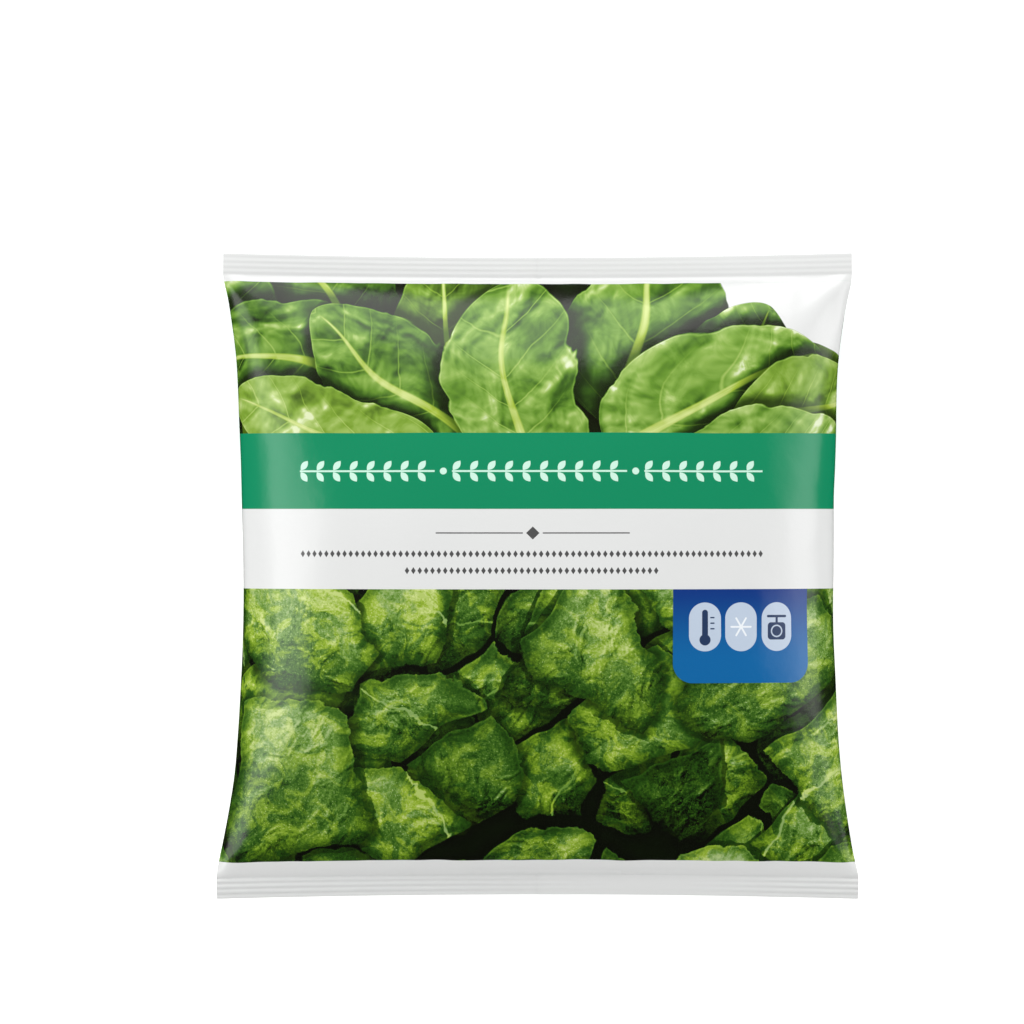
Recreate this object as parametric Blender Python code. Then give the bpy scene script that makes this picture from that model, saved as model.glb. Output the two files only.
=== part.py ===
"""A pillow bag of frozen chard, lying on its back.

One web of plastic film is folded into a tube, sealed to itself in a fin down the middle of the back, and
crimped flat across both ends. Inside lie the frozen leaf portions, in two loose layers. The bag's top end
points along +Y, its front faces up (+Z), and the origin is under the bag's middle on the resting surface.
"""

import math
import random

import bmesh
import bpy
from mathutils import Euler, Vector, noise
from mathutils.bvhtree import BVHTree

# Driving dimensions, in metres.
LENGTH = 0.2116  # end to end, at the corners
TOP_HALF_WIDTH = 0.1030  # half the width across the top end seal
BOTTOM_HALF_WIDTH = 0.1050  # half the width across the bottom end seal
WAIST_HALF_WIDTH = 0.0965  # half the width at the middle, where the filling pulls the sides in
END_SEAL = 0.0072  # width of each crimped end seal
FRONT_RISE = 0.0330  # height of the front's crown above the side edges
BACK_DEPTH = 0.0260  # how deep the back would hang if nothing flattened it
EDGE_LEVEL = 0.0200  # height of the side edges at the middle
SEAL_LEVEL = 0.0150  # height of the end seals
SEAL_BOW = 0.0015  # how far each end seal is drawn in at its middle
SEAL_DROOP = 0.0010  # how far each end seal's outer edge hangs down
CORNER_CUT = 0.0006  # how much the seal's corners are rounded off
FILM = 0.0001  # thickness of the film
FIN_WIDTH = 0.0100  # width of the folded fin seal
FIN_GAP = 0.0001  # air between the fin and the back that it lies against

# How the shape runs between those sizes.
TOP_WAIST_POWER = 3.0  # how late the sides flare out towards the top
BOTTOM_WAIST_POWER = 2.4  # how late they flare out towards the bottom
CROWN_POWER = 2.6  # how level the crown stays along the bag
CROWN_FALL = 0.8  # how steeply it drops to the end seals
REST_BLEND = 0.003  # depth over which the back rounds off onto the surface
EDGE_THINNING = 0.25  # how the two skins come together at the side edges
BOW_POWER = 4  # how soon the rows straighten away from the end seals
SAME_PLACE = 0.0000001  # places closer together than this are one

# Ridges and fin.
CRIMP_RIDGES = 4
CRIMP_HEIGHT = 0.00018
FIN_STACK = FIN_GAP + 2 * FILM
FIN_ROOT = 0.0006  # where the fin leaves the back, from the middle
FIN_SHOULDER = 0.0130  # where the back is down on the surface again beside the fin

# The mesh.
SIDE_COLUMNS = 8  # from a side edge to the fin's shoulder
FILLED_ROWS = 24  # between the end seals

# The needle hole that lets air out when bags are stacked.
VENT_RADIUS = 0.0004
VENT_PLACE = (-0.030, 0.066)

# The frozen portions.
PORTION_SIZE = (0.0418, 0.0379, 0.0225)
PORTION_VARIATION = 0.10
PORTION_SQUARENESS = 0.62  # 1 is an ellipsoid, smaller is squarer
PORTION_CUTS = 3
PORTION_TILT = math.radians(9)
LUMP_SIZE = 0.011
LUMP_DEPTH = 0.0022
LOWER_LAYER = (4, 0.0425)  # portions along each side of the layer, and their spacing
UPPER_LAYER = (3, 0.0440)
UPPER_LEVEL = 0.0345  # height of the upper portions' middles
PLACE_JITTER = 0.0012
CELL_GAP = 0.0004  # least space between neighbouring portions
WALL_CLEARANCE = 0.0012  # least space between a portion and the film
LAYER_SPLIT = 0.0236  # height between the two layers
LIMIT_HARDNESS = 8  # how squarely a portion flattens where its neighbours press

HALF_FILLED = LENGTH / 2 - END_SEAL


def clear_scene():
    for old in list(bpy.data.objects):
        bpy.data.objects.remove(old)


def material(name, colour, roughness):
    made = bpy.data.materials.new(name)
    made.use_nodes = True
    shader = made.node_tree.nodes["Principled BSDF"]
    shader.inputs["Base Color"].default_value = (*colour, 1)
    shader.inputs["Roughness"].default_value = roughness
    shader.inputs["Metallic"].default_value = 0
    return made


def add_object(name, shape, finish):
    mesh = bpy.data.meshes.new(name)
    shape.to_mesh(mesh)
    shape.free()
    mesh.materials.append(finish)
    made = bpy.data.objects.new(name, mesh)
    bpy.context.scene.collection.objects.link(made)
    return made


# The film's course. "along" runs from -1 to 1 between the end seals, and "bulge" is 0 at a side edge and 1
# at the middle.


def half_width(along):
    """Half the bag's width at this place along it."""
    if along > 0:
        end, power = TOP_HALF_WIDTH, TOP_WAIST_POWER
    else:
        end, power = BOTTOM_HALF_WIDTH, BOTTOM_WAIST_POWER
    return WAIST_HALF_WIDTH + (end - WAIST_HALF_WIDTH) * min(1, abs(along)) ** power


def fullness(along):
    """1 at the bag's middle, 0 at the end seals and beyond."""
    return max(0, 1 - abs(along) ** CROWN_POWER) ** CROWN_FALL


def edge_height(along):
    """Height of the side edges."""
    return SEAL_LEVEL + (EDGE_LEVEL - SEAL_LEVEL) * max(0, 1 - along * along)


def rested(height):
    """A hanging height, rounded off onto the surface at 0."""
    if height <= -REST_BLEND:
        return 0.0
    if height >= REST_BLEND:
        return height
    return (height + REST_BLEND) ** 2 / (4 * REST_BLEND)


def bulge_at(x, along):
    return math.sqrt(max(0, 1 - (x / half_width(along)) ** 2))


def front_height(along, bulge):
    return edge_height(along) + FRONT_RISE * fullness(along) * bulge


def back_height(along, bulge):
    return rested(edge_height(along) - BACK_DEPTH * fullness(along) * bulge)


def fin_lift(x):
    """How far the back stands off the surface, to leave room for the fin."""
    return FIN_STACK if 0 < x < (FIN_WIDTH + FIN_SHOULDER) / 2 else 0.0


def seal_relief(row_y):
    """Height of an end seal's ridges, with its droop."""
    out = (abs(row_y) - HALF_FILLED) / END_SEAL
    if out <= 0:
        return 0.0
    return CRIMP_HEIGHT * math.sin(out * CRIMP_RIDGES * math.tau) - SEAL_DROOP * out * out


def skin_heights(row_y, x):
    """Heights of the back's outer and inner sides, and of the front's inner and outer sides."""
    along = row_y / HALF_FILLED
    bulge = bulge_at(x, along)
    skin = FILM * bulge**EDGE_THINNING
    back_outer = back_height(along, bulge) + fin_lift(x)
    back_inner = back_outer + skin
    front_inner = max(front_height(along, bulge) + skin, back_inner)
    relief = seal_relief(row_y)
    return [height + relief for height in (back_outer, back_inner, front_inner, front_inner + skin)]


def column_places(row_y, growth):
    """The columns' x places from left to right, with the side edges moved out by growth."""
    half = half_width(row_y / HALF_FILLED) + growth
    if abs(row_y) >= LENGTH / 2:
        half -= CORNER_CUT
    last_turn = math.acos(FIN_SHOULDER / half)
    right = [half * math.cos(last_turn * i / SIDE_COLUMNS) for i in range(SIDE_COLUMNS + 1)]
    left = [-x for x in right]
    middle = [-FIN_WIDTH / 2, -FIN_ROOT, FIN_ROOT, FIN_WIDTH / 2, FIN_WIDTH]
    return left + middle + right[::-1]


def row_places():
    """The rows' places along the bag: over the filled length, and closer over each end seal."""
    filled = [HALF_FILLED * math.sin(math.pi * (i / FILLED_ROWS - 0.5)) for i in range(FILLED_ROWS + 1)]
    steps = 4 * CRIMP_RIDGES
    seal = [HALF_FILLED + END_SEAL * i / steps for i in range(1, steps + 1, 2)] + [LENGTH / 2]
    return [-y for y in reversed(seal)] + filled + seal


def drawn_in(row_y, x):
    """Where a row lies at this x: each end is drawn in between its corners."""
    share = abs(row_y) / (LENGTH / 2)
    across = min(1, abs(x) / half_width(row_y / HALF_FILLED))
    bow = SEAL_BOW * share**BOW_POWER * (1 - across * across)
    return row_y - math.copysign(bow, row_y)


def skin_row(shape, row_y, growth, back_layer, front_layer):
    """One row's vertices, as (back, front) lists from left to right that share both side edges."""
    back, front = [], []
    places = column_places(row_y, growth)
    for x in places:
        heights = skin_heights(row_y, x)
        y = drawn_in(row_y, x)
        back.append(shape.verts.new((x, y, heights[back_layer])))
        at_edge = x in (places[0], places[-1])
        sealed = heights[front_layer] - heights[back_layer] < SAME_PLACE
        front.append(back[-1] if at_edge or sealed else shape.verts.new((x, y, heights[front_layer])))
    return back, front


def add_strip(shape, one, other):
    """Triangles between two rows of vertices.

    Their diagonals run towards the bag's corners on every skin alike, so that no two skins cross.
    """
    for i in range(len(one) - 1):
        start, end, far_start, far_end = one[i], one[i + 1], other[i], other[i + 1]
        if (start.co.x + end.co.x) * (start.co.y + far_start.co.y) < 0:
            triangles = (start, end, far_start), (end, far_end, far_start)
        else:
            triangles = (start, end, far_end), (start, far_end, far_start)
        for corners in triangles:
            if len(set(corners)) == 3:
                shape.faces.new(corners)


def fin_row(shape, row_y, back):
    """The fin's vertices in one row: out along its upper side and back along its lower side."""
    places = column_places(row_y, FILM)
    root = places.index(FIN_ROOT)
    upper, lower = [], []
    for i in range(root, root + 3):
        x, y, z = back[i].co
        upper.append(shape.verts.new((x, y, z - FIN_GAP)))
        lower.append(shape.verts.new((x, y, z - FIN_STACK)))
    return [back[root], *upper, *reversed(lower), back[root - 1]]


def outer_skin(shape, rows):
    """The outside of the film with its fin, and the cut ends of both seals."""
    skins = []
    for row_y in rows:
        back, front = skin_row(shape, row_y, FILM, 0, 3)
        fin = fin_row(shape, row_y, back)
        root = back.index(fin[0])
        skins.append((back[:root], fin, back[root:], front))
    for one, other in zip(skins, skins[1:]):
        left, fin, right, front = one
        next_left, next_fin, next_right, next_front = other
        add_strip(shape, left, next_left)
        add_strip(shape, right, next_right)
        add_strip(shape, fin, next_fin)
        add_strip(shape, front, next_front)
    for left, fin, right, front in (skins[0], skins[-1]):
        cap_end(shape, left, fin, right, front)


def cap_end(shape, left, fin, right, front):
    """Closes one cut end: the two welded skins, the fin beside them and the web between."""
    add_strip(shape, left, front[: len(left)])
    add_strip(shape, right, front[len(left) :])
    root, upper, lower, before = fin[0], fin[1:4], fin[4:7][::-1], fin[7]
    add_strip(shape, upper, lower)
    web = [before, lower[0], upper[0], root, front[len(left)], front[len(left) - 1]]
    shape.faces.new(web)


def inner_skin(shape, rows):
    """The inside of the film, from the seam at one end seal to the seam at the other."""
    skins = [skin_row(shape, row_y, 0, 1, 2) for row_y in rows]
    for (back, front), (next_back, next_front) in zip(skins, skins[1:]):
        add_strip(shape, back, next_back)
        add_strip(shape, front, next_front)


def open_vent(shape):
    """A needle hole through the back: a small opening in each skin, and a rim that joins them."""
    skins = BVHTree.FromBMesh(shape)
    up = Vector((0, 0, 1))
    outer = skins.ray_cast(Vector((*VENT_PLACE, -LENGTH)), up)
    inner = skins.ray_cast(outer[0] + up * FILM / 2, up)
    shape.faces.ensure_lookup_table()
    pierced = [shape.faces[hit[2]] for hit in (outer, inner)]
    rim = []
    for face in pierced:
        widest = 2 * face.calc_area() / face.calc_perimeter()
        bmesh.ops.inset_individual(shape, faces=[face], thickness=widest - VENT_RADIUS)
        rim += face.edges
    bmesh.ops.delete(shape, geom=pierced, context="FACES_ONLY")
    bmesh.ops.bridge_loops(shape, edges=rim)


def film_bag():
    shape = bmesh.new()
    rows = row_places()
    outer_skin(shape, rows)
    inner_skin(shape, [y for y in rows if abs(y) <= HALF_FILLED + SAME_PLACE])
    open_vent(shape)
    bmesh.ops.recalc_face_normals(shape, faces=shape.faces)
    # The resting face comes first and the crown last.
    shape.faces.sort(key=lambda face: face.calc_center_median().z)
    bag = add_object("film_bag", shape, material("printed_film", (0.12, 0.32, 0.08), 0.35))
    bag.data.shade_smooth()
    bag.data.set_sharp_from_angle(angle=math.radians(60))


def squared(direction):
    """A point on a unit block with rounded sides, in this direction from its middle."""
    power = 2 / PORTION_SQUARENESS
    size = sum(abs(c) ** power for c in direction) ** (1 / power)
    return direction / size


def limited(value, most):
    """The value held within most, rounding off as it comes near."""
    return value / (1 + (abs(value) / most) ** LIMIT_HARDNESS) ** (1 / LIMIT_HARDNESS)


def portion(name, middle, cell, low, high, finish, draw):
    """One frozen portion: a lumpy block that fits its cell, clear of the film and of its neighbours."""
    shape = bmesh.new()
    bmesh.ops.create_cube(shape, size=2)
    bmesh.ops.subdivide_edges(shape, edges=shape.edges, cuts=PORTION_CUTS, use_grid_fill=True)
    half = [side / 2 * draw.uniform(1 - PORTION_VARIATION, 1 + PORTION_VARIATION / 2) for side in PORTION_SIZE]
    turn = Euler(
        (
            draw.uniform(-PORTION_TILT, PORTION_TILT),
            draw.uniform(-PORTION_TILT, PORTION_TILT),
            draw.choice((0, math.pi / 2)) + draw.uniform(-PORTION_TILT, PORTION_TILT) * 2,
        )
    )
    seed = Vector((draw.uniform(-9, 9), draw.uniform(-9, 9), draw.uniform(-9, 9)))
    for vertex in shape.verts:
        place = squared(vertex.co.normalized())
        place = Vector((place.x * half[0], place.y * half[1], place.z * half[2]))
        lump = noise.noise(place / LUMP_SIZE + seed)
        place += vertex.co.normalized() * LUMP_DEPTH * lump
        place.rotate(turn)
        x = middle.x + limited(place.x, cell)
        y = middle.y + limited(place.y, cell)
        along = y / HALF_FILLED
        bulge = bulge_at(x, along)
        lowest = max(low, back_height(along, bulge) + WALL_CLEARANCE)
        highest = min(high, front_height(along, bulge) - WALL_CLEARANCE)
        centre, reach = (lowest + highest) / 2, (highest - lowest) / 2
        vertex.co = (x, y, centre + limited(middle.z + place.z - centre, reach))
    made = add_object(name, shape, finish)
    made.data.shade_smooth()
    return made


def portion_layer(layer, first, low, high, level, finish, draw):
    """A square layer of portions between two heights."""
    count, pitch = layer
    made = []
    for i in range(count * count):
        column, row = i % count, i // count
        shift = [draw.uniform(-PLACE_JITTER, PLACE_JITTER) for _ in range(2)]
        x = (column - (count - 1) / 2) * pitch
        y = (row - (count - 1) / 2) * pitch
        along = y / HALF_FILLED
        bulge = bulge_at(x, along)
        floor_here = back_height(along, bulge) + WALL_CLEARANCE
        z = level if level else floor_here + PORTION_SIZE[2] / 2
        middle = Vector((x + shift[0], y + shift[1], z))
        cell = pitch / 2 - CELL_GAP / 2 - PLACE_JITTER
        name = f"chard_portion_{first + i:02d}"
        made.append(portion(name, middle, cell, low, high, finish, draw))
    return made


def frozen_filling():
    draw = random.Random(7)
    finish = material("frozen_chard", (0.10, 0.26, 0.04), 0.7)
    lower = portion_layer(LOWER_LAYER, 1, 0, LAYER_SPLIT - CELL_GAP / 2, None, finish, draw)
    first_upper = 1 + len(lower)
    portion_layer(UPPER_LAYER, first_upper, LAYER_SPLIT + CELL_GAP / 2, LENGTH, UPPER_LEVEL, finish, draw)


clear_scene()
film_bag()
frozen_filling()
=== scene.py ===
import math

import bpy
import numpy as np
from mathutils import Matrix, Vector, noise


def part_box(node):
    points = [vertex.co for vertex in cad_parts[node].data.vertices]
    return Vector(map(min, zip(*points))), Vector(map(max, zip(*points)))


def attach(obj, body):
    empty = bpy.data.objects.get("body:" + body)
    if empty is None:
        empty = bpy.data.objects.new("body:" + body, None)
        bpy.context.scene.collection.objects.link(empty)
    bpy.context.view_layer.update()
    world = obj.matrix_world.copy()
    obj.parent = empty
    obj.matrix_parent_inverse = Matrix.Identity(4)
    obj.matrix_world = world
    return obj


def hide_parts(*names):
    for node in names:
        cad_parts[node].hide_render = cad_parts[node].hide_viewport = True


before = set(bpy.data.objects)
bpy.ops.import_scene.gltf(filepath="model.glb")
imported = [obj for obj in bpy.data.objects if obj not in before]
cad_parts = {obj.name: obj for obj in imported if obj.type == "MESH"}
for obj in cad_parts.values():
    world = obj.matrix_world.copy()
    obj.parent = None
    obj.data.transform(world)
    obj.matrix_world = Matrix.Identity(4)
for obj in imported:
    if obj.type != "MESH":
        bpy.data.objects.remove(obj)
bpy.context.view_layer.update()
bpy.ops.object.select_all(action="DESELECT")


# The film's shape. The bag is one web of polythene film, folded into a tube round the filling, welded to
# itself in a fin down the back and crimped flat across both ends. The web starts here as a flat grid, one
# column for each strip across it and one row for each strip along it, and is folded into place.

film_low, film_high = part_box("film_bag")
BAG_LENGTH = film_high.y - film_low.y
END_SEAL = 0.0072  # length of an end seal along the bag
HALF_FILLED = BAG_LENGTH / 2 - END_SEAL
TOP_HALF_WIDTH, TOP_FLARE = 0.1030, 3.0  # a larger flare keeps the sides straight for longer
BOTTOM_HALF_WIDTH, BOTTOM_FLARE = film_high.x, 2.4
WAIST_HALF_WIDTH = 0.0965
CROWN_RISE = 0.0330  # how far the front bulges above the side folds
BACK_DEPTH = 0.0260  # how far the back would hang below them with nothing to rest on
FULLNESS, FULL_END = 2.6, 0.8  # how blunt the filled bag's ends are
EDGE_LEVEL = 0.0200  # height of the side folds at the waist
SEAL_LEVEL = 0.0150  # height of the end seals
SEAL_BOW = 0.0015  # how far each end's edge is drawn in at its middle
TOP_DROOP = 0.0009  # how far each end seal's outer edge hangs down
BOTTOM_DROOP = 0.0024
REST_BLEND = 0.003
FILM = 0.00009
LAYER_STEP = 0.00010  # from the middle of one welded layer to the middle of the next
FOLD_BEND = 0.0006  # width over which the two layers come together at a side fold
FIN_WIDTH = 0.0100
FIN_LIFT = 0.0003  # how far the back is lifted where the fin lies under it
FIN_REACH, FIN_SHOULDER = 0.0108, 0.0130  # where that lift begins to fall, and where it has gone
FIN_CALM = 0.0140  # the film is smooth within this distance of the fin's root
CRIMP_RIDGES = 4
CRIMP_HEIGHT = 0.00013
WORN_PLACE, WORN_WIDTH = 0.034, 0.060  # where the lower jaws' ridges are worn faint

FIN_COLUMNS = 4
BACK_COLUMNS = 44
FRONT_COLUMNS = 130
SEAL_ROWS = 24
FILLED_ROWS = 122
ARC_STEPS = 240  # steps in which a row's curve is measured

BACK_WEB = 0.1045  # from a side fold to the fin's root, on the flat web
FRONT_WEB = 0.2090  # from one side fold to the other
WEB_WIDTH = FRONT_WEB + 2 * BACK_WEB + 2 * FIN_WIDTH


def smooth(low, high, value):
    """0 below low, 1 above high, and an even rise between."""
    share = np.clip((value - low) / (high - low), 0, 1)
    return share * share * (3 - 2 * share)


def rested(height):
    """A hanging height, rounded off onto the resting surface."""
    soft = (np.maximum(height, -REST_BLEND) + REST_BLEND) ** 2 / (4 * REST_BLEND)
    return np.where(height >= REST_BLEND, height, soft)


def row_places():
    """Where the rows lie along the bag: close together over the end seals, wider between them."""
    seal = np.linspace(HALF_FILLED, BAG_LENGTH / 2, SEAL_ROWS + 1)[1:]
    filled = np.linspace(-HALF_FILLED, HALF_FILLED, FILLED_ROWS + 1)
    return np.concatenate([-seal[::-1], filled, seal])


def evenly(x, z, columns):
    """Points at even distances along a measured curve."""
    reach = np.concatenate([[0], np.cumsum(np.hypot(np.diff(x), np.diff(z)))])
    wanted = np.linspace(0, reach[-1], columns + 1)
    return np.interp(wanted, reach, x), np.interp(wanted, reach, z)


def folded_row(row_y):
    """The web's course across the bag at one row: fin, back, front, back and fin again."""
    along = min(1.0, abs(row_y) / HALF_FILLED)
    end_half, flare = (TOP_HALF_WIDTH, TOP_FLARE) if row_y > 0 else (BOTTOM_HALF_WIDTH, BOTTOM_FLARE)
    half = WAIST_HALF_WIDTH + (end_half - WAIST_HALF_WIDTH) * along**flare - FILM / 2
    full = (1 - along**FULLNESS) ** FULL_END
    edge = SEAL_LEVEL + (EDGE_LEVEL - SEAL_LEVEL) * (1 - along * along)
    turn = np.linspace(0, math.pi, ARC_STEPS + 1)
    x, bulge = -half * np.cos(turn), np.sin(turn)
    welded = LAYER_STEP / 2 * np.minimum(1, (half - np.abs(x)) / FOLD_BEND)
    lift = FIN_LIFT * np.where(x > 0, 1 - smooth(FIN_REACH, FIN_SHOULDER, x), 0)
    back = rested(edge - BACK_DEPTH * full * bulge) - welded + FILM + lift
    front = np.maximum(edge + CROWN_RISE * full * bulge + FILM, back + 2 * welded)
    middle = ARC_STEPS // 2
    fin_x = np.linspace(0, FIN_WIDTH, FIN_COLUMNS + 1)
    root = back[middle + 1]
    left = evenly(x[middle::-1], back[middle::-1], BACK_COLUMNS)
    over = evenly(x, front, FRONT_COLUMNS)
    right_x, right_z = x[:middle:-1], back[:middle:-1]
    right = evenly(np.append(right_x, 0), np.append(right_z, root), BACK_COLUMNS)
    across = [fin_x[:0:-1], left[0], over[0][1:], right[0][1:], fin_x[1:]]
    height = [
        np.full(FIN_COLUMNS, root - FIN_LIFT),
        left[1],
        over[1][1:],
        right[1][1:],
        np.full(FIN_COLUMNS, root - FIN_LIFT + LAYER_STEP * 1.1),
    ]
    share = np.concatenate(across) / half
    level = np.concatenate(height)
    bow = SEAL_BOW * (abs(row_y) / (BAG_LENGTH / 2)) ** 4 * (1 - np.clip(share, -1, 1) ** 2)
    return np.stack([share * half, row_y - math.copysign(1, row_y) * bow, level], axis=1)


web_columns = 2 * FIN_COLUMNS + 2 * BACK_COLUMNS + FRONT_COLUMNS
rows = row_places()
folded = np.stack([folded_row(y) for y in rows])

# Where each column lies on the flat web, from its left edge.
web_across = np.concatenate(
    [
        np.linspace(0, FIN_WIDTH, FIN_COLUMNS + 1)[:-1],
        FIN_WIDTH + np.linspace(0, BACK_WEB, BACK_COLUMNS + 1)[:-1],
        FIN_WIDTH + BACK_WEB + np.linspace(0, FRONT_WEB, FRONT_COLUMNS + 1)[:-1],
        FIN_WIDTH + BACK_WEB + FRONT_WEB + np.linspace(0, BACK_WEB, BACK_COLUMNS + 1)[:-1],
        FIN_WIDTH + 2 * BACK_WEB + FRONT_WEB + np.linspace(0, FIN_WIDTH, FIN_COLUMNS + 1),
    ]
)
printed_across = web_across - WEB_WIDTH / 2


PUSH = 0.0008  # how far the filling's lumps press the film out
WAVE = 0.00035  # height of the small waves between them
CREASE = 0.00030  # height of the sharp creases
GATHER = 0.00042  # height of the pleats that gather beside each end seal
GATHER_REACH = 0.010  # how far from the seal they are highest


def pressed_out(across, y):
    """How far the film stands out of its smooth course. The filling pushes it, and it gathers in creases."""
    from_seal = HALF_FILLED - abs(y)
    if from_seal <= 0:
        return 0.0
    side = abs(abs(across) - FRONT_WEB / 2)
    push = PUSH * noise.noise(Vector((across * 24, y * 24, 0))) * min(1, from_seal / 0.03)
    wave = WAVE * noise.noise(Vector((across * 62, y * 38, 5.5)))
    crease = 1 - abs(noise.noise(Vector((across * 75, y * 55, 3.1)))) * 2.2
    patch = max(0, noise.noise(Vector((across * 21, y * 21, 8.7))) - 0.05) * (0.4 + math.exp(-side / 0.03))
    reach = from_seal / GATHER_REACH
    pleats = noise.noise(Vector((across * 130, math.copysign(5, y), y * 8)))
    gather = GATHER * reach * math.exp(1 - reach) * pleats
    return min(1, from_seal / 0.008) * (push + wave + CREASE * crease * patch) + gather


TOP_RIGHT_FOLD = (0.052, 0.0016)  # length and height, here and below
CORNER_FOLD = (0.036, 0.0011)
FOLD_WIDTH, FOLD_SPREAD = 0.0022, 0.14  # a fold's half width at the corner, and how fast it widens


def corner_fold(across, y):
    """The folds that run inwards from the ends of the seals, where the flat end turns into the round bag."""
    side = FRONT_WEB / 2 - abs(across)
    inwards = HALF_FILLED - abs(y)
    if side < -0.02 or inwards < 0:
        return 0.0
    length, height = TOP_RIGHT_FOLD if across > 0 and y > 0 else CORNER_FOLD
    run, off = (side + inwards) * math.sqrt(0.5), (side - inwards) * math.sqrt(0.5)
    fade = max(0, 1 - run / length) * min(1, run / 0.006)
    spread = off / (FOLD_WIDTH + run * FOLD_SPREAD)
    return height * fade * math.exp(-spread * spread)


def seal_relief(x, y):
    """Height of the ridges that the crimping jaws leave across an end seal, with the seal's droop."""
    out = (abs(y) - HALF_FILLED) / END_SEAL
    if out <= 0:
        return 0.0
    pressure = 0.4 + 0.4 * noise.noise(Vector((x * 20, 0, 2.2)))
    if y < 0:
        pressure = smooth(0, WORN_WIDTH, abs(x - WORN_PLACE)) * 2
    ripple = 0.00035 * noise.noise(Vector((x * 22, math.copysign(3, y), 0))) * out
    droop = (TOP_DROOP if y > 0 else BOTTOM_DROOP) * out * out
    return ripple - droop - CRIMP_HEIGHT * pressure * math.sin(out * CRIMP_RIDGES * math.tau)


shift_x = np.gradient(folded, axis=1)
shift_y = np.gradient(folded, axis=0)
outwards = np.cross(shift_x, shift_y)
outwards /= np.linalg.norm(outwards, axis=2, keepdims=True)
on_fin = np.abs(printed_across) > FRONT_WEB / 2 + BACK_WEB - FIN_CALM
for j, row_y in enumerate(rows):
    for k, across in enumerate(printed_across):
        if not on_fin[k]:
            folded[j, k] += outwards[j, k] * (pressed_out(across, row_y) + corner_fold(across, row_y))
        folded[j, k, 2] += seal_relief(folded[j, k, 0], row_y)
folded[:, :, 2] = np.maximum(folded[:, :, 2], FILM / 2)

bpy.ops.mesh.primitive_grid_add(x_subdivisions=web_columns, y_subdivisions=len(rows) - 1, size=1)
film = bpy.context.object
film.name = "printed_film"
flat = np.empty(len(film.data.vertices) * 3)
film.data.vertices.foreach_get("co", flat)
flat = flat.reshape(-1, 3)
column = np.rint((flat[:, 0] + 0.5) * web_columns).astype(int)
row = np.rint((flat[:, 1] + 0.5) * (len(rows) - 1)).astype(int)
film.data.vertices.foreach_set("co", folded[row, column].ravel())
corner = np.empty(len(film.data.loops), dtype=int)
film.data.loops.foreach_get("vertex_index", corner)
place_on_web = np.stack([web_across[column] / WEB_WIDTH, rows[row] / BAG_LENGTH + 0.5], axis=1)
film.data.uv_layers.active.data.foreach_set("uv", place_on_web[corner].ravel())
film.data.update()
film.select_set(True)
bpy.context.view_layer.objects.active = film
thickness = film.modifiers.new("thickness", "SOLIDIFY")
thickness.thickness = FILM
thickness.offset = 0
bpy.ops.object.modifier_apply(modifier=thickness.name)
bpy.ops.object.shade_smooth_by_angle(angle=math.radians(60))
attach(film, "root")
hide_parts("film_bag")


# The film's print. The web is white polythene, printed with a picture of leaves over a green and a white
# band, a picture of frozen portions and a blue label, all in place before it is folded.


class Value:
    """A number or colour that changes over a surface. Sums on it add the material's nodes."""

    def __init__(self, paint, socket):
        self.paint = paint
        self.socket = socket

    def worked(self, operation, *values):
        return self.paint.node("ShaderNodeMath", {"operation": operation}, values)

    def __add__(self, other):
        return self.worked("ADD", self, other)

    def __radd__(self, other):
        return self.worked("ADD", other, self)

    def __sub__(self, other):
        return self.worked("SUBTRACT", self, other)

    def __rsub__(self, other):
        return self.worked("SUBTRACT", other, self)

    def __mul__(self, other):
        return self.worked("MULTIPLY", self, other)

    def __rmul__(self, other):
        return self.worked("MULTIPLY", other, self)

    def __truediv__(self, other):
        return self.worked("DIVIDE", self, other)

    def __rtruediv__(self, other):
        return self.worked("DIVIDE", other, self)

    def __pow__(self, other):
        return self.worked("POWER", self, other)

    def __abs__(self):
        return self.worked("ABSOLUTE", self)

    def least(self, other):
        return self.worked("MINIMUM", self, other)

    def most(self, other):
        return self.worked("MAXIMUM", self, other)

    def wrapped(self, period):
        return self.worked("WRAP", self, period, 0.0)

    def zigzag(self, height):
        return self.worked("PINGPONG", self, height)

    def rise(self, low, high):
        """0 below low and 1 above high, with an even rise between. High may be the lower one."""
        values = {"Value": self, "From Min": low, "From Max": high}
        return self.paint.node("ShaderNodeMapRange", {"interpolation_type": "SMOOTHSTEP"}, values)

    def part(self, name):
        """Another output of the node that this value comes from."""
        return Value(self.paint, self.socket.node.outputs[name])


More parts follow.
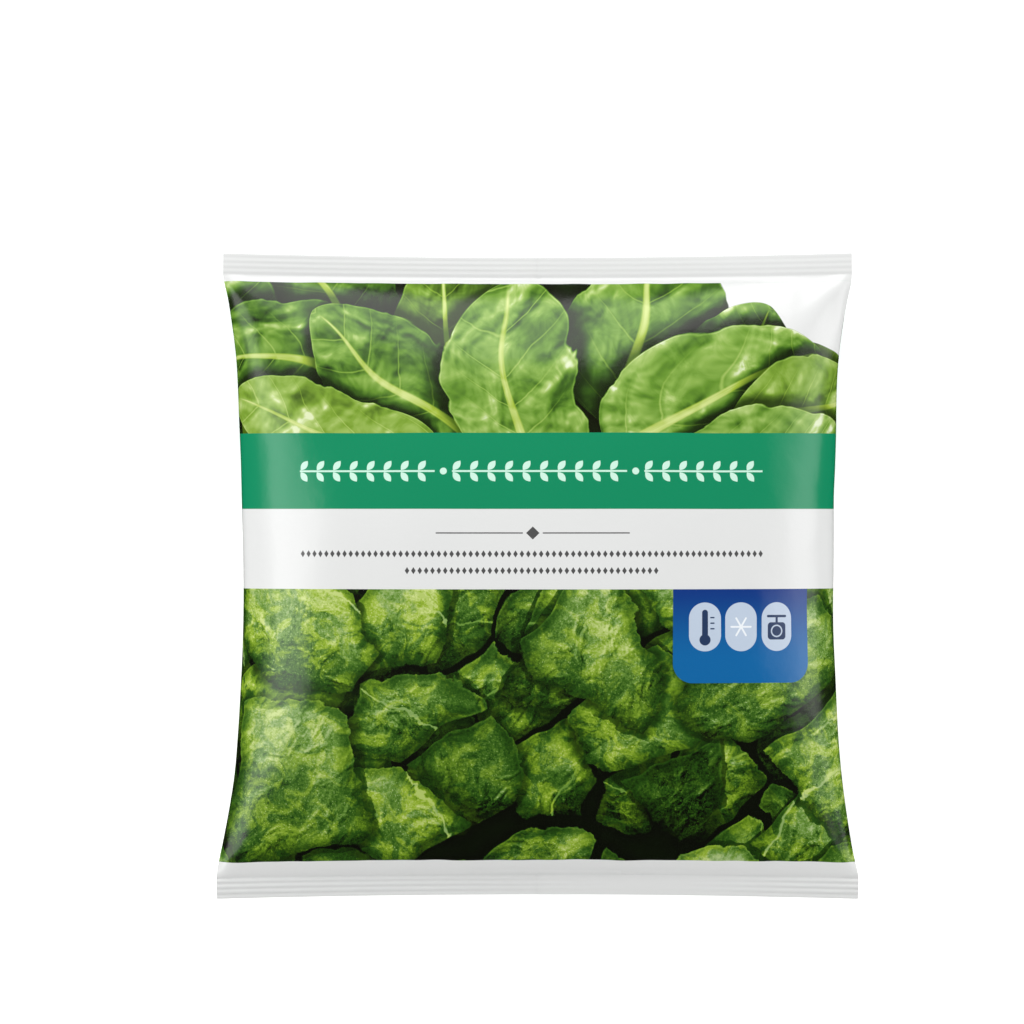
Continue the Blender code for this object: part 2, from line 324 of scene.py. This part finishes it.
class Paint:
    """A material's nodes, or those of one stencil that materials share."""

    def __init__(self, tree):
        self.tree = tree

    def node(self, kind, settings, values, output=0):
        """Adds a node: its settings first, then the values or links of its sockets."""
        made = self.tree.nodes.new(kind)
        for setting, value in settings.items():
            if setting == "stops":
                self.set_stops(made.color_ramp, value)
            else:
                setattr(made, setting, value)
        pairs = values.items() if isinstance(values, dict) else enumerate(values)
        for socket, value in pairs:
            if isinstance(value, Value):
                self.tree.links.new(value.socket, made.inputs[socket])
            else:
                made.inputs[socket].default_value = value
        return Value(self, made.outputs[output] if made.outputs else None)

    def set_stops(self, ramp, stops):
        while len(ramp.elements) < len(stops):
            ramp.elements.new(1)
        for element, (place, colour) in zip(ramp.elements, stops):
            element.position = place
            element.color = colour

    def point(self, x, y, z=0.0):
        return self.node("ShaderNodeCombineXYZ", {}, [x, y, z])

    def parts(self, place):
        """The X of a place or vector. Its Y and Z are this value's parts."""
        return self.node("ShaderNodeSeparateXYZ", {}, [place])

    def noise(self, place, scale, detail=2.0, roughness=0.5, distortion=0.0, output=0):
        values = {
            "Vector": place,
            "Scale": scale,
            "Detail": detail,
            "Roughness": roughness,
            "Distortion": distortion,
        }
        return self.node("ShaderNodeTexNoise", {}, values, output)

    def mix(self, share, under, over):
        """A colour that goes from under to over as share goes from 0 to 1."""
        return self.node("ShaderNodeMix", {"data_type": "RGBA"}, {0: share, 6: under, 7: over}, 2)

    def ramp(self, value, stops):
        return self.node("ShaderNodeValToRGB", {"stops": stops}, [value])

    def laid(self, stencil, values):
        return self.node("ShaderNodeGroup", {"node_tree": stencil}, values)

    def surface(self, values):
        return self.node("ShaderNodeBsdfPrincipled", {}, values)

    def either(self, share, one, other):
        """The surface one where share is 0, and the surface other where it is 1."""
        return self.node("ShaderNodeMixShader", {}, {0: share, 1: one, 2: other})


def material_paint(name):
    """An empty material and the paint for its nodes."""
    material = bpy.data.materials.new(name)
    material.use_nodes = True
    material.node_tree.nodes.clear()
    return material, Paint(material.node_tree)


def dress(piece, material, paint, surface):
    """Shows a surface on a piece, in place of the materials it has."""
    paint.node("ShaderNodeOutputMaterial", {}, {"Surface": surface})
    piece.data.materials.clear()
    piece.data.materials.append(material)


def stencil(name, drawn, inputs, outputs):
    """Keeps what a function makes of its inputs as one group of nodes, made once however often it's laid."""
    tree = bpy.data.node_groups.new(name, "ShaderNodeTree")
    for socket in inputs:
        tree.interface.new_socket(socket, in_out="INPUT", socket_type="NodeSocketFloat")
    for socket in outputs:
        tree.interface.new_socket(socket, in_out="OUTPUT", socket_type="NodeSocketFloat")
    paint = Paint(tree)
    given = paint.node("NodeGroupInput", {}, {})
    results = drawn(paint, *[given.part(socket) for socket in inputs])
    paint.node("NodeGroupOutput", {}, dict(zip(outputs, results)))
    return tree


def tint(red, green, blue):
    """A printer's colour, 0 to 255, as the light that it sends back."""
    parts = [c / 255 for c in (red, green, blue)]
    return (*[c / 12.92 if c <= 0.04045 else ((c + 0.055) / 1.055) ** 2.4 for c in parts], 1)


def blend(share, under, over):
    """A number that goes from under to over as share goes from 0 to 1."""
    return under + share * (over - under)


# The layout, in millimetres from the middle of the front.
LEAVES_TOP, LEAVES_FOOT = 96.5, 46.6
WHITE_TOP, WHITE_FOOT = 22.0, -3.9
PORTIONS_FOOT = -93.45
FRONT_EDGE = FRONT_WEB * 500
FIN_ROOT = FRONT_EDGE + BACK_WEB * 1000
EDGE = 0.06  # half the width over which one ink gives way to the next
HAIR = 0.0001  # a shift too small to see

web_material, ink = material_paint("printed_web")
web = ink.parts(ink.node("ShaderNodeUVMap", {"uv_map": "UVMap"}, {}))
s = (web - 0.5) * (WEB_WIDTH * 1000)
t = (web.part("Y") - 0.5) * (BAG_LENGTH * 1000)
sheet = ink.point(s, t)


# The light in both printed pictures comes from above and from the left.
LIGHT_X, LIGHT_Y = -0.5, 0.87


def leaf(paint, s, t, light, yellow, bare, root_x, root_y, cosine, sine, length, width, bend, tone, hue):
    """Lays one leaf over the picture: its shadow, its blade with ribs and puckers, and its stalk."""
    seed = root_x * 0.37 + root_y
    # The hair's shift by what lies below has the renderer finish one leaf before it starts the next.
    waver = paint.noise(paint.point(s + light * HAIR, t, seed), 0.022, 0.0)
    waver = (waver - 0.5) * 22

    def placed(shift):
        """How far along the leaf and to its side a place lies, or the place a shift nearer to the light."""
        right = s + (light * HAIR + waver + shift * LIGHT_X - root_x)
        up = t + (waver * 0.6 + shift * LIGHT_Y - root_y)
        along = (right * cosine + up * sine) / length
        return along, (up * cosine - right * sine) / width - (along * along - 0.4) * bend

    def raised(along, side):
        """How far the blade stands up, puckered between its veins and crumpled all over."""
        flat = paint.point(along * (length / 21), side * (width / 17), seed)
        crumple = paint.noise(flat, 1.0, 3.0, 0.5, 0.5)
        aside = abs(side)
        sweep = (along * 6 - aside * (aside * 0.7 + 1.2) + waver * 0.05 + crumple * 0.5).zigzag(0.5)
        return sweep, crumple, crumple * 2.4 + (sweep * (1 - sweep)) * (1.2 - aside).most(0) * 0.8

    along, side = placed(0.0)
    aside = abs(side)
    sweep, crumple, height = raised(along, side)
    relief = height - raised(*placed(1.8))[2]
    # The blade's wavy outline, the shadow round it, and the rib and veins on it.
    profile = (along * (1 - along)).most(0) * 4
    edge = profile**0.55 * (1.20 - along * 0.45) + (crumple - 0.5) * profile * 0.55 - aside
    blade = edge.rise(0.0, 0.03)
    between = along.rise(-0.10, 0.06) * along.rise(1.12, 0.94)
    shadow = edge.rise(-0.36, 0.02) * between
    light = light * (1 - shadow * 0.88)
    rib = (0.092 - along * 0.082 - aside).rise(-0.012, 0.02) * along.rise(-0.5, -0.48) * along.rise(0.98, 0.9)
    vein = sweep.rise(0.045, 0.0) * aside.rise(0.95, 0.2)
    # How light the face is: its puckers, a mottle, a pale rim, then the veins and the rib on top.
    mottle = paint.noise(paint.point(s, t, seed), 0.11, 3.0, 0.6, 0.8)
    gleam = relief.rise(0.07, 0.26) * mottle.rise(0.42, 0.64)
    face = tone + relief * 0.9 + gleam * 0.20 + (mottle - 0.5) * 0.6
    face = face + side * 0.08 + edge.rise(0.05, 0.015) * 0.22
    face = blend(vein * 0.5, face, tone + 0.30)
    grain = paint.noise(paint.point(along * 3, side * 26, seed), 1.0, 2.0)
    face = blend(rib, face, 0.54 + grain * 0.34 + relief * 0.6 - aside * 1.6)
    cover = blade.most(rib)
    golden = rib.most(hue * blade + vein * 0.2)
    return blend(cover, light, face), blend(cover, yellow, golden), bare * (1 - cover)


LEAF_CHANNELS = ("light", "yellow", "bare")
LEAF_SHAPE = ("root_x", "root_y", "cosine", "sine", "length", "width", "bend", "tone", "hue")
LEAF = stencil("leaf", leaf, ("s", "t", *LEAF_CHANNELS, *LEAF_SHAPE), LEAF_CHANNELS)

# Each leaf's root, the way it points, its length and width, its bend, its tone and its yellowness.
FAN = (
    (-60, 60, 112, 70, 24, 0.3, 0.36, 0.0),
    (-14, 44, 104, 70, 27, -0.2, 0.34, 0.2),
    (28, 48, 80, 66, 26, 0.25, 0.40, 0.0),
    (54, 44, 68, 48, 20, -0.3, 0.38, 0.0),
    (104, 26, 102, 52, 20, 0.3, 0.44, 0.3),
    (-98, 40, 96, 62, 22, -0.2, 0.44, 0.0),
    (-56, 62, 172, 72, 22, 0.35, 0.48, 0.0),
    (-18, 38, 139, 76, 23, 0.3, 0.46, 0.0),
    (26, 38, 31, 76, 22, -0.35, 0.52, 0.0),
    (60, 44, 14, 66, 18, -0.3, 0.46, 0.25),
    (0, 30, 97, 68, 24, 0.15, 0.52, 0.0),
    (-32, 42, 171, 78, 15, -0.3, 0.55, 0.3),
    (36, 34, 8, 72, 15, 0.3, 0.54, 0.0),
)


def leaf_picture():
    """Broad leaves fanned out side by side, some in front of others."""
    depth = ink.noise(sheet, 0.05, 3.0, 0.6)
    heap = t + (depth - 0.5) * 16 + (s - 44).most(0) * 0.6
    channels = 0.05 + depth * 0.12, depth * 0, heap.rise(98.0, 98.4)
    for x, y, angle, *rest in FAN:
        turn = math.radians(angle)
        laid = ink.laid(LEAF, [s, t, *channels, x, y, math.cos(turn), math.sin(turn), *rest])
        channels = [laid.part(name) for name in LEAF_CHANNELS]
    light, yellow, bare = channels
    green = ink.ramp(
        light,
        [
            (0.00, tint(20, 22, 10)),
            (0.12, tint(32, 52, 14)),
            (0.30, tint(62, 102, 24)),
            (0.46, tint(100, 144, 42)),
            (0.62, tint(136, 173, 74)),
            (0.80, tint(175, 200, 116)),
            (1.00, tint(222, 232, 196)),
        ],
    )
    stalks = ink.ramp(
        light,
        [
            (0.10, tint(74, 104, 16)),
            (0.50, tint(158, 184, 54)),
            (0.95, tint(222, 232, 160)),
        ],
    )
    return ink.mix(bare, ink.mix(yellow, green, stalks), WHITE_INK)


LUMP_REACH = 0.70  # how far a portion reaches from the middle of its cell, against the cells' size


def portion_layer(paint, s, t, light, yellow, size, gap, shift, tone, kept):
    """Lays one layer of frozen portions over the picture, each cell of a loose pattern holding one."""
    # The outlines: cells that are bent, frayed at their edges and drawn in from their neighbours.
    warp = paint.parts(paint.noise(paint.point(s + shift, t + light * HAIR), 0.034, 2.0, 0.5, output=1))
    fray = paint.noise(paint.point(s, t, shift), 0.22, 4.0, 0.62)
    x = s + shift + (warp - 0.5) * 16 + (fray - 0.5) * 4
    y = t * 1.08 + (warp.part("Y") - 0.5) * 16 + (fray - 0.5) * 4
    cells = {"Vector": paint.point(x, y), "Scale": 1 / size}
    cell = paint.node("ShaderNodeTexVoronoi", {"voronoi_dimensions": "2D"}, cells)
    to_edge = {"voronoi_dimensions": "2D", "feature": "DISTANCE_TO_EDGE"}
    # Each cell's own draw turns its portion, sets its tone and says whether it is kept.
    draw = paint.node("ShaderNodeSeparateColor", {}, [cell.part("Color")])
    apart = gap + ((warp.part("Z") - 0.50) * 11).most(0)
    from_edge = paint.node("ShaderNodeTexVoronoi", to_edge, cells) * size - apart
    inside = from_edge.least((LUMP_REACH - cell) * size)
    present = draw.part("Blue").rise(1 - kept, 1.001 - kept)
    body = inside.rise(0, 0.45) * present
    shade = inside.rise(-5.5, 0.3) * present
    light = light * (1 - shade * 0.7)
    middle = paint.parts(cell.part("Position"))
    up = (y - middle.part("Y")) / size
    turn = draw * math.tau
    sine, cosine = turn.worked("SINE", turn), turn.worked("COSINE", turn)

    def crumpled(shift):
        """How far the leaf pieces pressed into a portion stand up, longer one way than across."""
        right, over = x - middle + shift * LIGHT_X, y - middle.part("Y") + shift * LIGHT_Y
        lean, cross = right * cosine + over * sine, over * cosine - right * sine
        fold = paint.noise(paint.point(lean / 16, cross / 9, draw * 40), 1.0, 5.0, 0.6, 0.7)
        return cross / size, fold, abs(fold - 0.5)

    # How light the face is: its folds and facets, patches of leaf, frost, and a stalk across some.
    cross, fold, crease = crumpled(0.0)
    ahead = crumpled(1.1)
    relief = (fold - ahead[1]) * 1.2 + (crease - ahead[2]) * 0.8
    facet_place = paint.point(x + draw * 90 + (fray - 0.5) * 5, y + draw.part("Green") * 90)
    facets = {"Vector": facet_place, "Scale": 2.1 / size}
    facet = paint.node("ShaderNodeTexVoronoi", {"voronoi_dimensions": "2D"}, facets)
    slant = paint.node("ShaderNodeSeparateColor", {}, [facet.part("Color")])
    leafy = paint.noise(paint.point(s, t, draw * 30), 0.13, 4.0, 0.62, 0.9)
    grain = paint.noise(paint.point(s, t, shift), 1.1, 2.0, 0.75)
    ice = paint.noise(paint.point(s, t, shift), 2.4, 1.0).rise(0.62, 0.76)
    stalk = abs(cross - 0.13 + (leafy - 0.5) * 0.10).rise(0.018, 0.006) * draw.part("Green").rise(0.5, 0.52)
    vein = crease.rise(0.012, 0.0)
    face = tone + (draw.part("Green") - 0.5) * 0.52 + (slant - 0.5) * 0.26 + up * 0.45
    face = face + relief * 1.4 + (leafy - 0.5) * 0.6 + (grain - 0.5) * 0.75 + ice * 0.38
    face = blend(vein * 0.35, face, tone + 0.30)
    face = face * (0.45 + inside.rise(0, 6.5) * 0.55) + inside.rise(1.3, 0.2) * up.rise(-0.1, 0.2) * 0.20
    face = blend(stalk, face, tone + 0.34)
    pale = (leafy.rise(0.44, 0.58) * (0.2 + draw.part("Green") * 1.4)).least(1) * fold.rise(0.30, 0.50)
    return blend(body, light, face), blend(body, yellow, pale)


PORTION_CHANNELS = ("light", "yellow")
PORTION_SETTINGS = ("size", "gap", "shift", "tone", "kept")
PORTION_INPUTS = ("s", "t", *PORTION_CHANNELS, *PORTION_SETTINGS)
PORTIONS = stencil("portions", portion_layer, PORTION_INPUTS, PORTION_CHANNELS)

# Each layer's cell size, its gaps, its shift along the pattern, its tone and the share of its portions kept.
HEAP = (
    (31, 0.7, 13.0, 0.36, 1.0),
    (38, 1.0, 377.0, 0.50, 0.72),
    (46, 1.6, 801.0, 0.58, 0.46),
)


def portion_picture():
    """Frozen portions heaped in layers over a dark ground."""
    ground = ink.noise(sheet, 0.2, 2.0) * 0.03
    light, yellow = ground, ground
    for settings in HEAP:
        laid = ink.laid(PORTIONS, [s, t, light, yellow, *settings])
        light, yellow = laid, laid.part("yellow")
    deep = ink.ramp(
        light,
        [
            (0.00, tint(13, 14, 9)),
            (0.16, tint(26, 54, 10)),
            (0.32, tint(40, 80, 16)),
            (0.50, tint(66, 108, 28)),
            (0.70, tint(106, 146, 56)),
            (1.00, tint(168, 192, 128)),
        ],
    )
    fresh = ink.ramp(
        light,
        [
            (0.00, tint(16, 18, 8)),
            (0.25, tint(56, 88, 12)),
            (0.45, tint(104, 142, 24)),
            (0.70, tint(150, 180, 50)),
            (1.00, tint(206, 220, 140)),
        ],
    )
    return ink.mix(yellow, deep, fresh)


def band(low, high):
    """1 between two heights on the web."""
    return t.rise(low - EDGE, low + EDGE) * t.rise(high + EDGE, high - EDGE)


def span(low, high):
    """1 between two places across the web."""
    return s.rise(low - EDGE, low + EDGE) * s.rise(high + EDGE, high - EDGE)


def within(distance):
    """1 where a distance to a shape's outline is negative, inside it."""
    return distance.rise(EDGE, -EDGE)


def rounded(centre, size, radius, across=s):
    """How far outside a rounded rectangle a place lies, negative inside it."""
    beyond_x = (abs(across - centre[0]) - (size[0] / 2 - radius)).most(0)
    beyond_y = (abs(t - centre[1]) - (size[1] / 2 - radius)).most(0)
    return (beyond_x * beyond_x + beyond_y * beyond_y) ** 0.5 - radius


def line(one, other, half):
    """How far outside a straight stroke a place lies."""
    run_x, run_y = other[0] - one[0], other[1] - one[1]
    right, up = s - one[0], t - one[1]
    share = ((right * run_x + up * run_y) / (run_x**2 + run_y**2)).most(0).least(1)
    off_x, off_y = right - share * run_x, up - share * run_y
    return (off_x * off_x + off_y * off_y) ** 0.5 - half


SPRIG = 5.5  # from one pair of leaves to the next
SPRIGS_START, SPRIGS_HEIGHT = -76.5, 34.2
SPRIGS = 27
SPRIG_LEAF, SPRIG_LEAF_TURN = 3.9, 52
SPRIG_STEM = 0.30
SPRIG_DOT = 2.2
DOTS = (8, 19)  # a dot stands in for these pairs


def sprigs():
    """Three runs of small leaf pairs along a stem, with a dot between one run and the next."""
    step = (s - SPRIGS_START).wrapped(SPRIG)
    up = abs(t - SPRIGS_HEIGHT)
    turn = math.radians(SPRIG_LEAF_TURN)
    along = step * math.cos(turn) + up * math.sin(turn)
    off = abs(up * math.cos(turn) - step * math.sin(turn))
    reach = (along - 0.4) / SPRIG_LEAF
    blade = (reach * (1 - reach)).most(0) * 4 * 1.1 - off - EDGE
    stem = (SPRIG_STEM - up).rise(-EDGE, EDGE)
    drawn = blade.rise(-EDGE, EDGE).most(stem)
    runs = span(SPRIGS_START, SPRIGS_START + SPRIGS * SPRIG)
    spots = 0
    for place in DOTS:
        start = SPRIGS_START + place * SPRIG
        runs = runs * (1 - span(start, start + SPRIG))
        dot = rounded((start + SPRIG / 2, SPRIGS_HEIGHT), (SPRIG_DOT, SPRIG_DOT), SPRIG_DOT / 2)
        spots = within(dot) + spots
    return drawn * runs + spots


RULE_HEIGHT, RULE_MIDDLE, RULE_LEFT, RULE_RIGHT = 14.25, -1.6, -32, 28.7
DIAMOND, DIAMOND_CLEAR = 2.1, 3.2
# The height and the two ends of each row of lozenges.
LOZENGE_ROWS = ((7.5, -76.0, 72.0), (2.1, -42.0, 38.0))
LOZENGE_STEP = 2.0


def rules():
    """A thin rule with a diamond in its middle, over two rows of small lozenges."""
    thin = band(RULE_HEIGHT - 0.2, RULE_HEIGHT + 0.2) * span(RULE_LEFT, RULE_RIGHT)
    from_middle = abs(s - RULE_MIDDLE) + abs(t - RULE_HEIGHT)
    drawn = within(from_middle - DIAMOND).most(thin * (1 - within(from_middle - DIAMOND_CLEAR)))
    for height, low, high in LOZENGE_ROWS:
        step = s.wrapped(LOZENGE_STEP) - LOZENGE_STEP / 2
        lozenge = abs(step) * 1.6 + abs(t - height) - 1.15
        drawn = drawn.most(within(lozenge) * span(low, high))
    return drawn


PANEL_MIDDLE = (156.0, -49.0)
PANEL_SIZE = (82.0, 74.0)
PANEL_RULES = (-24.0, -33.0, -42.0, -51.0, -60.0, -66.0, -72.0)


def back_panels():
    """Where the two white panels stand, one on each side of the fin."""
    return within(rounded(PANEL_MIDDLE, PANEL_SIZE, 5.0, abs(s)))


def back_rules():
    """Thin rules across the panels, closer together towards the foot."""
    drawn = 0
    for height in PANEL_RULES:
        drawn = band(height - 0.2, height + 0.2) + drawn
    beyond = abs(abs(s) - PANEL_MIDDLE[0]) - PANEL_SIZE[0] / 2 + 7
    return drawn * within(beyond)


LABEL_LEFT, LABEL_RIGHT, LABEL_FOOT = 42.4, 87.9, -34.3
LABEL_CUT = 60  # the label's length before the white band cuts it off
LABEL_CORNER = 6.5
WINDOW_MIDDLES = (52.7, 64.5, 76.6)
WINDOW_SIZE = (10.4, 15.8)
WINDOW_HEIGHT = -16.1
DEGREE_MARKS = (-0.6, 1.2, 3.0)
FLAKE_ARM = 3.2


def label(colour):
    """The blue label that hangs from the white band, with three pale windows for its signs."""
    middle = (LABEL_LEFT + LABEL_RIGHT) / 2, LABEL_FOOT + LABEL_CUT / 2
    shape = within(rounded(middle, (LABEL_RIGHT - LABEL_LEFT, LABEL_CUT), LABEL_CORNER))
    shape = shape * t.rise(WHITE_FOOT + EDGE, WHITE_FOOT - EDGE)
    blue = ink.mix(t.rise(0, -28), tint(10, 50, 130), tint(4, 102, 166))
    colour = ink.mix(shape, colour, blue)
    for place in WINDOW_MIDDLES:
        window = within(rounded((place, WINDOW_HEIGHT), WINDOW_SIZE, WINDOW_SIZE[0] / 2 - 0.01))
        colour = ink.mix(window, colour, tint(192, 206, 224))
    thermometer, frost, scales = WINDOW_MIDDLES
    bulb = rounded((thermometer, WINDOW_HEIGHT - 4.2), (3.6, 3.6), 1.8)
    tube = line((thermometer, WINDOW_HEIGHT - 4), (thermometer, WINDOW_HEIGHT + 4.6), 0.95)
    signs = within(bulb.least(tube))
    for mark in DEGREE_MARKS:
        height = WINDOW_HEIGHT + mark
        signs = signs.most(within(line((thermometer + 1.9, height), (thermometer + 2.9, height), 0.22)))
    tray = line((scales - 3.0, WINDOW_HEIGHT + 3.4), (scales + 3.0, WINDOW_HEIGHT + 3.4), 0.4)
    post = line((scales, WINDOW_HEIGHT + 1.4), (scales, WINDOW_HEIGHT + 3.4), 0.4)
    case = rounded((scales, WINDOW_HEIGHT - 1.4), (6.2, 5.6), 1.1)
    dial = abs(rounded((scales, WINDOW_HEIGHT - 1.4), (3.6, 3.6), 1.8)) - 0.22
    signs = signs.most(within(tray.least(post).least(case).most(0.0 - dial)))
    colour = ink.mix(signs, colour, tint(40, 60, 96))
    flake = 9
    for turn in (0, 60, 120):
        x, y = FLAKE_ARM * math.cos(math.radians(turn)), FLAKE_ARM * math.sin(math.radians(turn))
        arm = line((frost - x, WINDOW_HEIGHT - y), (frost + x, WINDOW_HEIGHT + y), 0.30)
        flake = arm.least(flake)
    return ink.mix(within(flake), colour, tint(240, 245, 250))


def finished(colour):
    """The film's smooth surface over a printed colour."""
    return ink.surface({"Base Color": colour, "Roughness": 0.20, "IOR": 1.5, "Normal": waves})


WHITE_INK = tint(227, 228, 227)
waving = ink.noise(sheet, 0.30, 3.0, 0.55)
waves = ink.node("ShaderNodeBump", {}, {"Strength": 0.5, "Distance": 0.00012, "Height": waving})
front = span(-FRONT_EDGE, FRONT_EDGE)
printed = span(-FIN_ROOT, FIN_ROOT)
plain = ink.mix(band(WHITE_TOP, LEAVES_TOP) * printed, WHITE_INK, tint(8, 141, 96))
plain = ink.mix(sprigs(), plain, tint(205, 242, 224))
plain = ink.mix(rules().most(back_rules()), plain, tint(84, 84, 84))
bag_surface = finished(plain)
bag_surface = ink.either(band(LEAVES_FOOT, LEAVES_TOP) * front, bag_surface, finished(leaf_picture()))
lower = finished(label(portion_picture()))
bag_surface = ink.either(band(PORTIONS_FOOT, WHITE_FOOT) * printed * (1 - back_panels()), bag_surface, lower)
dress(film, web_material, ink, bag_surface)


# The frozen portions in the bag. Chopped leaves and stalks were blanched, pressed into lumps and frozen, so
# each is a hard, crumpled, frosted block, loose among the others.

CRUMPLE = 0.0009  # how deep the folds go in
FOLD_SIZE = 0.009

lump_material, frost = material_paint("frosted_chard")
lump_place = frost.node("ShaderNodeTexCoord", {}, {}, "Object")
clumps = frost.noise(lump_place, 60.0, 3.0, 0.6, 0.8)
fibres = frost.noise(lump_place, 240.0, 5.0, 0.68, 1.6)
stalks = frost.noise(lump_place, 95.0, 4.0, 0.6, 2.2)
rime = frost.noise(lump_place, 1500.0, 3.0, 0.7)
tone = clumps * 0.5 + fibres * 0.8 - 0.15
leafy_green = frost.ramp(
    tone,
    [
        (0.28, tint(20, 40, 8)),
        (0.45, tint(44, 82, 20)),
        (0.60, tint(88, 130, 44)),
        (0.80, tint(140, 170, 92)),
    ],
)
pale_green = frost.ramp(
    tone,
    [
        (0.28, tint(70, 98, 20)),
        (0.60, tint(150, 178, 60)),
        (0.80, tint(206, 220, 150)),
    ],
)
lump_colour = frost.mix(stalks.rise(0.52, 0.68) * 0.8, leafy_green, pale_green)
lump_colour = frost.mix(rime.rise(0.52, 0.72) * 0.35, lump_colour, tint(224, 234, 222))
wrinkle_height = fibres + rime * 0.2
wrinkles = frost.node("ShaderNodeBump", {}, {"Strength": 0.6, "Distance": 0.0006, "Height": wrinkle_height})
lump_finish = {"Base Color": lump_colour, "Roughness": 0.45 + rime * 0.3, "IOR": 1.31, "Normal": wrinkles}
lump_surface = frost.surface(lump_finish)
frost.node("ShaderNodeOutputMaterial", {}, {"Surface": lump_surface})

for name in sorted(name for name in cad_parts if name.startswith("chard_portion_")):
    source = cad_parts[name]
    lump = source.copy()
    lump.data = source.data.copy()
    lump.name = name.replace("chard", "frozen")
    bpy.context.scene.collection.objects.link(lump)
    bpy.ops.object.select_all(action="DESELECT")
    lump.select_set(True)
    bpy.context.view_layer.objects.active = lump
    bpy.ops.object.mode_set(mode="EDIT")
    bpy.ops.mesh.select_all(action="SELECT")
    bpy.ops.mesh.remove_doubles(threshold=0.00001)
    bpy.ops.object.mode_set(mode="OBJECT")
    for step in ("SIMPLE", "CATMULL_CLARK"):
        rounding = lump.modifiers.new("rounding", "SUBSURF")
        rounding.subdivision_type = step
        rounding.levels = rounding.render_levels = 1
        bpy.ops.object.modifier_apply(modifier=rounding.name)
    inward = [
        vertex.co - vertex.normal * CRUMPLE * abs(noise.fractal(vertex.co / FOLD_SIZE, 0.8, 2.0, 3))
        for vertex in lump.data.vertices
    ]
    lump.data.vertices.foreach_set("co", np.ravel(inward))
    lump.data.update()
    bpy.ops.object.shade_smooth()
    lump.data.materials.clear()
    lump.data.materials.append(lump_material)
    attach(lump, "root")
    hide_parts(name)


# The studio: a pale floor that the bag lies on, a camera straight above it, soft boxes on three sides for
# the shines on the film, and a room that is lit all round.

FLOOR_SIZE = 40
CAMERA_HEIGHT = 2.2
FRAME_WIDTH = 0.3353  # the width of the view at the height of the end seals
VIEW_MIDDLE = (-0.00835, 0.0210)

bpy.ops.mesh.primitive_plane_add(size=FLOOR_SIZE)
floor = bpy.context.object
floor.name = "floor"
pale_material, pale = material_paint("pale_floor")
# Lit from below as well, like a light table, which leaves next to no shadow.
GLOW = 0.45
glow = {"Emission Color": (1, 1, 1, 1), "Emission Strength": GLOW}
pale_surface = pale.surface({"Base Color": (0.95, 0.95, 0.95, 1), "Roughness": 0.8, **glow})
dress(floor, pale_material, pale, pale_surface)
floor.visible_glossy = False

camera_data = bpy.data.cameras.new("camera")
camera = bpy.data.objects.new("camera", camera_data)
bpy.context.scene.collection.objects.link(camera)
camera_data.sensor_width = 36
camera_data.lens = camera_data.sensor_width * (CAMERA_HEIGHT - SEAL_LEVEL) / FRAME_WIDTH
camera.location = (*VIEW_MIDDLE, CAMERA_HEIGHT)
bpy.context.scene.camera = camera


SHINE_DISTANCE = 1.5


def shine(name, towards, rise, reach, brightness):
    """A soft box that shows only as a shine. It stands in one direction, between two height angles, and
    reaches from one place along its length to another."""
    lamp = bpy.data.lights.new(name, "AREA")
    lamp.shape = "RECTANGLE"
    lamp.size = reach[1] - reach[0]
    lamp.size_y = 2 * SHINE_DISTANCE * math.tan(math.radians(rise[1] - rise[0]) / 2)
    # In step with its size, so that a long box is as bright as a short one.
    lamp.energy = brightness * math.pi**2 * lamp.size * lamp.size_y
    height, turn = math.radians(sum(rise) / 2), math.radians(towards)
    level = math.cos(height) * SHINE_DISTANCE
    place = Vector((level * math.cos(turn), level * math.sin(turn), math.sin(height) * SHINE_DISTANCE))
    along = Vector((abs(math.sin(turn)), abs(math.cos(turn)), 0))
    box = bpy.data.objects.new(name, lamp)
    box.rotation_euler = (-place).to_track_quat("-Z", "Y").to_euler()
    box.location = place + along * (sum(reach) / 2)
    box.visible_diffuse = False
    bpy.context.scene.collection.objects.link(box)


shine("left_box", 180, (18, 36), (-0.6, 0.6), 0.86)
shine("left_box_top", 180, (36, 44), (-0.5, 0.5), 0.70)
shine("left_box_foot", 180, (8, 18), (-2.2, 2.2), 0.22)
shine("left_box_edge", 180, (8, 18), (-0.25, 0.3), 0.40)
shine("left_box_near", 180, (20, 36), (-2.2, -0.6), 0.46)
shine("left_box_far", 180, (20, 36), (0.6, 2.2), 0.42)
shine("right_box", 0, (12, 28), (-0.35, 0.6), 0.70)
shine("right_box_middle", 0, (28, 36), (-0.6, 0.6), 0.45)
shine("right_box_top", 0, (36, 44), (-0.3, 0.6), 0.20)
shine("right_box_edge", 0, (5, 12), (-0.25, 0.3), 0.50)
shine("far_box", 108, (1, 32), (-0.95, 1.02), 0.73)
shine("far_box_top", 111, (32, 42), (-0.92, 0.60), 0.17)

# The room is lit all round, more from the far side than from the near one, and a little more from the left.
ROOM_LIGHT = 1.06
MORE_FROM_FAR = 0.56
MORE_FROM_LEFT = 0.13

world = bpy.data.worlds.new("studio")
world.use_nodes = True
world.node_tree.nodes.clear()
air = Paint(world.node_tree)
way = air.parts(air.node("ShaderNodeTexCoord", {}, {}, "Generated"))
seen = air.node("ShaderNodeLightPath", {}, {}, "Is Camera Ray")
brightness = blend(seen, way.part("Y") * MORE_FROM_FAR - way * MORE_FROM_LEFT + ROOM_LIGHT, 1.0)
sky = air.node("ShaderNodeBackground", {}, {"Color": (1, 1, 1, 1), "Strength": brightness})
air.node("ShaderNodeOutputWorld", {}, {"Surface": sky})
bpy.context.scene.world = world
world.cycles_visibility.glossy = False
bpy.context.scene.view_settings.view_transform = "Standard"
